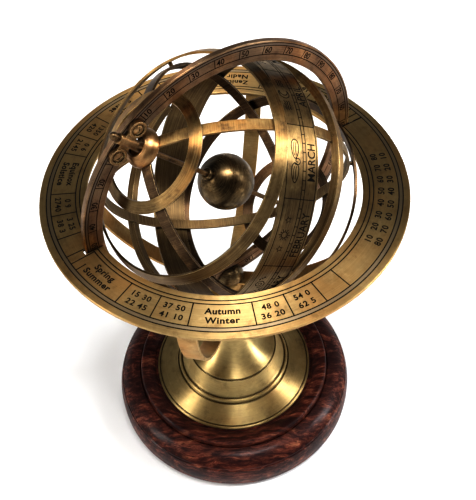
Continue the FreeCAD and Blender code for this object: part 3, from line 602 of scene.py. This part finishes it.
class Engraving:
    """Thin dark inlay on one ring. Shapes are drawn flat, with x along the ring and y
    across it, and the ring's own function bends them on to the metal."""

    def __init__(self, name, bend):
        self.name = name
        self.bend = bend
        self.points = []
        self.faces = []

    def add(self, start, points, faces):
        """Add a flat shape. start is the angle that its x is measured from."""
        first = len(self.points)
        self.points += [self.bend(start, x, y) for x, y in points]
        self.faces += [[first + index for index in face] for face in faces]

    def strip(self, start, left, right, low, high, steps=1):
        """A rectangle cut in steps along x, so that it bends with the ring."""
        points = []
        for step in range(steps + 1):
            x = left + (right - left) * step / steps
            points += [(x, low), (x, high)]
        faces = [(2 * step, 2 * step + 2, 2 * step + 3, 2 * step + 1) for step in range(steps)]
        self.add(start, points, faces)

    def line(self, start, points, width, closed=False):
        """A stroke through the points."""
        places = [Vector(point) for point in points]
        count = len(places)
        sides = []
        for index, place in enumerate(places):
            before = places[index - 1] if closed or index else place
            after = places[(index + 1) % count] if closed or index < count - 1 else place
            along = (after - before).normalized()
            across = Vector((-along.y, along.x)) * (width / 2)
            sides += [tuple(place + across), tuple(place - across)]
        faces = []
        for index in range(count if closed else count - 1):
            here, following = 2 * index, 2 * ((index + 1) % count)
            faces.append((here, here + 1, following + 1, following))
        self.add(start, sides, faces)

    def text(self, start, words, baseline, style, squeeze=1.0):
        """Words centered on x = 0, with their feet on the baseline."""
        points, faces = flat_words(words, style.weight, style.spacing)
        middle_x = (min(x for x, _ in points) + max(x for x, _ in points)) / 2
        size = style.height / CAPITAL_HEIGHT
        width = size * style.stretch * squeeze
        self.add(start, [((x - middle_x) * width, baseline + y * size) for x, y in points], faces)

    def build(self, body, material):
        """Make the piece with the material and let it ride on the body."""
        mesh = bpy.data.meshes.new(self.name)
        mesh.from_pydata(self.points, [], self.faces)
        mesh.materials.append(material)
        piece = add_object(self.name, mesh)
        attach(piece, body)


# ---------------------------------------------------------------- the horizon's engraving


def on_horizon(start, x, y):
    """x runs anticlockwise seen from above and y is the radius."""
    angle = math.radians(start) + x / y
    return (y * math.cos(angle), y * math.sin(angle), HORIZON_TOP + LIFT)


def on_horizon_band(start, x, y):
    """x runs anticlockwise and y runs inwards from the outside of the lettering band."""
    radius = BAND_OUTER - y
    angle = math.radians(start) + x / BAND_MIDDLE
    return (radius * math.cos(angle), radius * math.sin(angle), HORIZON_TOP + LIFT)


def engrave_horizon(material):
    """Two double circles with cells between them. Letters stand with their tops inwards."""
    ring = Engraving("horizon_engraving", on_horizon)
    letters = Engraving("horizon_lettering", on_horizon_band)
    engrave_horizon_circles(ring)
    for start, cells in HORIZON_QUARTERS:
        angle = start
        for style, width, words in cells:
            horizon_divider(ring, angle, BAND_INNER)
            engrave_rows(letters, angle + width / 2, style, words)
            angle += width
        horizon_divider(ring, angle, BAND_INNER)
    for angle in SHORT_DIVIDERS:
        horizon_divider(ring, angle, SHORT_DIVIDER_INNER)
    engrave_degree_scale(letters)
    ring.build("base", material)
    letters.build("base", material)


def engrave_horizon_circles(ring):
    """Full circles, broken where a notch cuts into them."""
    half = HORIZON_LINE_HALF
    for radius in HORIZON_CIRCLES:
        gap = NOTCH_HALF if radius < NOTCH_REACH else 0.0
        for side in (0, 180):
            ring.strip(side, gap, math.pi * radius - gap, radius - half, radius + half, steps=180)


def horizon_divider(ring, angle, inner):
    """A straight line across the lettering band, from the inner radius outwards."""
    half = HORIZON_LINE_HALF
    ring.add(angle, [(-half, inner), (half, inner), (half, BAND_OUTER), (-half, BAND_OUTER)],
             [(0, 1, 2, 3)])


def engrave_rows(letters, angle, style, words):
    """Two rows of words or numbers, across the middle of a cell."""
    for word, baseline in zip(words, (UPPER_ROW, LOWER_ROW)):
        letters.text(angle, word, baseline, style)


def engrave_degree_scale(letters):
    """Degrees that count both ways along the open quarter, one row each way."""
    for count in range(1, 9):
        words = (str(10 * count), str(90 - 10 * count))
        engrave_rows(letters, SCALE_START + SCALE_STEP * count, DEGREES, words)


# ---------------------------------------------------------------- the meridian's engraving


def on_meridian(start, x, y):
    """x runs clockwise seen from the front and y is the radius. Zero is at the north pole."""
    angle = POLE_ANGLE - math.radians(start) - x / MERIDIAN_MIDDLE
    return (MERIDIAN_CENTER.x + y * math.cos(angle), MERIDIAN_FACE - LIFT,
            MERIDIAN_CENTER.z + y * math.sin(angle))


def engrave_meridian(material):
    """Degrees from each pole to the equator, counted in tens, between engraved circles."""
    ring = Engraving("meridian_engraving", on_meridian)
    half = MERIDIAN_LINE_HALF
    around = 2 * math.pi * MERIDIAN_MIDDLE
    for radius in MERIDIAN_CIRCLES:
        ring.strip(0, 0, around, radius - half, radius + half, steps=360)
    for angle in range(0, 360, MERIDIAN_STEP):
        ring.strip(angle, -half, half, MERIDIAN_CIRCLES[2], MERIDIAN_CIRCLES[1])
        from_north = angle % 180
        degrees = min(from_north, 180 - from_north)
        if degrees:
            ring.text(angle + MERIDIAN_NUMBER_SHIFT, str(degrees), MERIDIAN_BASELINE, MERIDIAN_NUMBER)
    ring.build("meridian", material)


# ---------------------------------------------------------------- the zodiac band's engraving


def on_zodiac(start, x, y):
    """x runs eastwards and y runs to the north across the outside of the zodiac band."""
    angle = math.radians(start) + x / ZODIAC_RADIUS
    radius = ZODIAC_RADIUS + LIFT
    flat = Vector((radius * math.cos(angle), radius * math.sin(angle), y))
    return tuple(SPHERE_CENTER + ZODIAC_AXES @ flat)


def engrave_zodiac(material):
    """Twelve cells, each with an ornament, a scale and the name of a month."""
    band = Engraving("zodiac_engraving", on_zodiac)
    half = ZODIAC_LINE_HALF
    around = 2 * math.pi * ZODIAC_RADIUS
    top, scale_top, scale_bottom, bottom = ZODIAC_LINES
    for height in ZODIAC_LINES:
        band.strip(0, 0, around, height - half, height + half, steps=360)
    for cell, month in enumerate(MONTHS):
        start = ZODIAC_CELL * cell
        center = start + ZODIAC_CELL / 2
        band.strip(start, -half, half, bottom, top)
        for division in range(1, ZODIAC_DIVISIONS):
            angle = start + ZODIAC_CELL / ZODIAC_DIVISIONS * division
            band.strip(angle, -half, half, scale_bottom, scale_top)
        squeeze = min(1.0, MONTH_ROOM / len(month))
        band.text(center, month, MONTH_BASELINE, MONTH, squeeze)
        ORNAMENTS[cell % len(ORNAMENTS)](band, center)
    band.build("sphere", material)


def arc_points(center_x, center_y, radius, steps=28, start=0.0, sweep=360.0):
    """Points along an arc, both ends included."""
    points = []
    for step in range(steps + 1):
        angle = math.radians(start + sweep * step / steps)
        points.append((center_x + radius * math.cos(angle), center_y + radius * math.sin(angle)))
    return points


def spiral_points(center_x, center_y, outer, inner, turns, start, steps=40):
    """Points along a spiral that winds inwards from the outer to the inner radius."""
    points = []
    for step in range(steps + 1):
        share = step / steps
        angle = math.radians(start + 360 * turns * share)
        radius = outer + (inner - outer) * share
        points.append((center_x + radius * math.cos(angle), center_y + radius * math.sin(angle)))
    return points


def circle_line(band, start, center_x, center_y, radius, width, steps=28):
    """The outline of a full circle."""
    points = arc_points(center_x, center_y, radius, steps)[:-1]
    band.line(start, points, width, closed=True)


def twin_leaves(band, start):
    """Two leaves with two veins each, joined by a curl."""
    leaf_place, leaf_half_length, leaf_half_width = 5.4 * MM, 4.4 * MM, 1.9 * MM
    vein_half_length, vein_place, vein_rise = 3.0 * MM, 0.55 * MM, 0.35 * MM
    for center in (-leaf_place, leaf_place):
        outline = []
        for angle in [math.radians(degrees) for degrees in range(0, 360, 12)]:
            fullness = 1 + 0.25 * math.cos(angle)
            outline.append((center + leaf_half_length * math.cos(angle),
                            FIGURE_HEIGHT + leaf_half_width * math.sin(angle) * fullness))
        band.line(start, outline, STROKE, closed=True)
        for offset in (-vein_place, vein_place):
            vein = [(center + share * vein_half_length,
                     FIGURE_HEIGHT + offset + vein_rise * math.cos(share * 2))
                    for share in (-1, -0.5, 0, 0.5, 1)]
            band.line(start, vein, FINE_STROKE)
    curl = spiral_points(0, FIGURE_HEIGHT - 1.2 * MM, 2.0 * MM, 0.4 * MM, turns=1.3, start=110)
    band.line(start, curl, STROKE)


def scroll_pair(band, start):
    """Two spirals over a small peak, with a slanted row of three rings beside each."""
    for side, first in ((-1, 0), (1, 180)):
        spiral = spiral_points(side * 4.2 * MM, FIGURE_HEIGHT + 0.2 * MM, 2.9 * MM, 0.3 * MM,
                               turns=side * 1.9, start=first)
        band.line(start, spiral, STROKE)
        for ring in range(3):
            x = side * (7.6 + 0.9 * ring) * MM
            y = FIGURE_HEIGHT + (1.6 - ring) * MM
            circle_line(band, start, x, y, 0.35 * MM, FINE_STROKE, steps=10)
    peak = [(-1.2 * MM, -0.1 * MM), (0, 1.3 * MM), (1.2 * MM, -0.1 * MM)]
    band.line(start, peak, STROKE)


def rayed_sun(band, start):
    """A sun with long and short rays, and a star on each side."""
    disc, ray_start, short_ray, long_ray = 1.5 * MM, 1.8 * MM, 2.6 * MM, 3.1 * MM
    circle_line(band, start, 0, FIGURE_HEIGHT, disc, STROKE)
    for ray in range(12):
        angle = math.radians(30 * ray)
        ray_end = long_ray if ray % 2 else short_ray
        ends = [(reach * math.cos(angle), FIGURE_HEIGHT + reach * math.sin(angle))
                for reach in (ray_start, ray_end)]
        band.line(start, ends, LIGHT_STROKE)
    for center_x in (-7.2 * MM, 7.2 * MM):
        star(band, start, center_x, 1.7 * MM, 0.75 * MM)


def star(band, start, center_x, tip_radius, hollow_radius):
    """The outline of a star with five points."""
    outline = []
    for corner in range(10):
        angle = math.radians(36 * corner + 90)
        radius = hollow_radius if corner % 2 else tip_radius
        outline.append((center_x + radius * math.cos(angle),
                        FIGURE_HEIGHT + radius * math.sin(angle)))
    band.line(start, outline, LIGHT_STROKE, closed=True)


def crescent(band, start):
    """A crescent with three waves on each side."""
    outer = arc_points(0, FIGURE_HEIGHT, 2.7 * MM, steps=26, start=50, sweep=260)
    inner = arc_points(1.1 * MM, FIGURE_HEIGHT, 2.1 * MM, steps=26, start=290, sweep=-220)
    band.line(start, outer + inner, STROKE, closed=True)
    wave_place, wave_gap, wave_rise, wave_step = 6.8 * MM, 1.3 * MM, 0.35 * MM, 0.5 * MM
    for side in (-1, 1):
        for row in (-1, 0, 1):
            wave = [(side * wave_place + wave_step * step,
                     FIGURE_HEIGHT + wave_gap * row + wave_rise * math.sin(1.6 * step))
                    for step in range(-5, 6)]
            band.line(start, wave, LIGHT_STROKE)


ORNAMENTS = [crescent, scroll_pair, rayed_sun, twin_leaves]

# ---------------------------------------------------------------- stage, light and camera

CAMERA_TARGET = Vector((4.92, -3.07, 149.9)) * MM
CAMERA_DISTANCE = 450.8 * MM
CAMERA_BEARING = -121.98
CAMERA_ELEVATION = 51.29
CAMERA_ROLL = -2.08
CAMERA_LENS = 56.76  # millimetres

FLOOR_HALF = 12.0
FLOOR_NEAR, FLOOR_FAR = 0.35, 1.6  # distances between which the floor's glow rises
FLOOR_DIM, FLOOR_BRIGHT = 0.1, 0.85  # the glow at those distances

# Brightness of the room by the sine of the height above the skyline.
ROOM_LIGHT = [(0.0, 0.80), (0.14, 0.60), (0.36, 0.12), (1.0, 0.12)]


def direction(bearing, elevation):
    """The direction that lies at a bearing from the X axis and an elevation."""
    angle, rise = math.radians(bearing), math.radians(elevation)
    level = math.cos(rise)
    return Vector((math.cos(angle) * level, math.sin(angle) * level, math.sin(rise)))


def make_camera():
    """The camera at the photo's viewing angle."""
    back = direction(CAMERA_BEARING, CAMERA_ELEVATION)
    right = Vector((0, 0, 1)).cross(back).normalized()
    level_axes = Matrix((right, back.cross(right), back)).transposed()
    axes = level_axes @ Matrix.Rotation(math.radians(CAMERA_ROLL), 3, "Z")
    data = bpy.data.cameras.new("camera")
    data.lens = CAMERA_LENS
    data.clip_start = 20 * MM
    camera = add_object("camera", data)
    place = CAMERA_TARGET + back * CAMERA_DISTANCE
    camera.matrix_world = Matrix.Translation(place) @ axes.to_4x4()
    bpy.context.scene.camera = camera


def pale_floor():
    """A pale surface that glows more the further it lies from the object."""
    graph = Graph("pale_floor")
    place = graph.place()
    clouds = graph.noise(place, scale=3.0)
    tone = graph.ramp(clouds, [(0.3, (0.86, 0.86, 0.86)), (0.7, (0.9, 0.9, 0.9))])
    distance = graph.vector_math("LENGTH", place, output="Value")
    glow = graph.remap(distance, FLOOR_NEAR, FLOOR_FAR, FLOOR_DIM, FLOOR_BRIGHT)
    return graph.finish({
        "Base Color": tone, "Roughness": 0.8, "Emission Color": tone, "Emission Strength": glow})


def make_floor():
    """A wide flat floor, which is not part of the object."""
    corners = [(x * FLOOR_HALF, y * FLOOR_HALF, 0) for x, y in ((-1, -1), (1, -1), (1, 1), (-1, 1))]
    mesh = bpy.data.meshes.new("floor")
    mesh.from_pydata(corners, [], [(0, 1, 2, 3)])
    mesh.materials.append(pale_floor())
    floor = add_object("floor", mesh)


def make_world():
    """A pale room with a dim ceiling, so that flat metal reflects dark and edges bright."""
    world = bpy.data.worlds.new("room")
    world.use_nodes = True
    tree = world.node_tree
    place = tree.nodes.new("ShaderNodeTexCoord")
    split = tree.nodes.new("ShaderNodeSeparateXYZ")
    ramp = tree.nodes.new("ShaderNodeValToRGB")
    fill_ramp(ramp.color_ramp, [(height, (value, value, value)) for height, value in ROOM_LIGHT])
    tree.links.new(place.outputs["Generated"], split.inputs[0])
    tree.links.new(split.outputs["Z"], ramp.inputs["Fac"])
    tree.links.new(ramp.outputs["Color"], tree.nodes["Background"].inputs["Color"])
    bpy.context.scene.world = world


def make_light(name, turn, elevation, distance, width, height, power, color=(1, 1, 1)):
    """A soft box that faces the object. turn is measured from the camera's bearing."""
    data = bpy.data.lights.new(name, "AREA")
    data.shape = "RECTANGLE"
    data.size, data.size_y = width, height
    data.energy = power
    data.color = color
    light = add_object(name, data)
    away = direction(CAMERA_BEARING + turn, elevation)
    light.location = CAMERA_TARGET + away * distance
    light.rotation_mode = "QUATERNION"
    light.rotation_quaternion = away.to_track_quat("Z", "Y")


def make_lights():
    """One soft box above and a tall one on each side."""
    make_light("top_box", turn=30, elevation=80, distance=1.3, width=0.4, height=0.4, power=15.5)
    make_light("left_box", turn=-70, elevation=34, distance=1.2, width=0.16, height=0.6,
               power=5.5, color=(1.0, 0.97, 0.93))
    make_light("right_box", turn=85, elevation=34, distance=1.2, width=0.16, height=0.6,
               power=8, color=(0.95, 0.97, 1.0))


def set_view():
    """Brighter than the plain view, with more contrast."""
    view = bpy.context.scene.view_settings
    view.view_transform = "Standard"
    view.exposure = 0.5
    view.gamma = 0.74


# ---------------------------------------------------------------- the whole

dress_frame()
BLACK = engraving_black()
engrave_horizon(BLACK)
engrave_meridian(BLACK)
engrave_zodiac(BLACK)
make_camera()
make_floor()
make_world()
make_lights()
set_view()
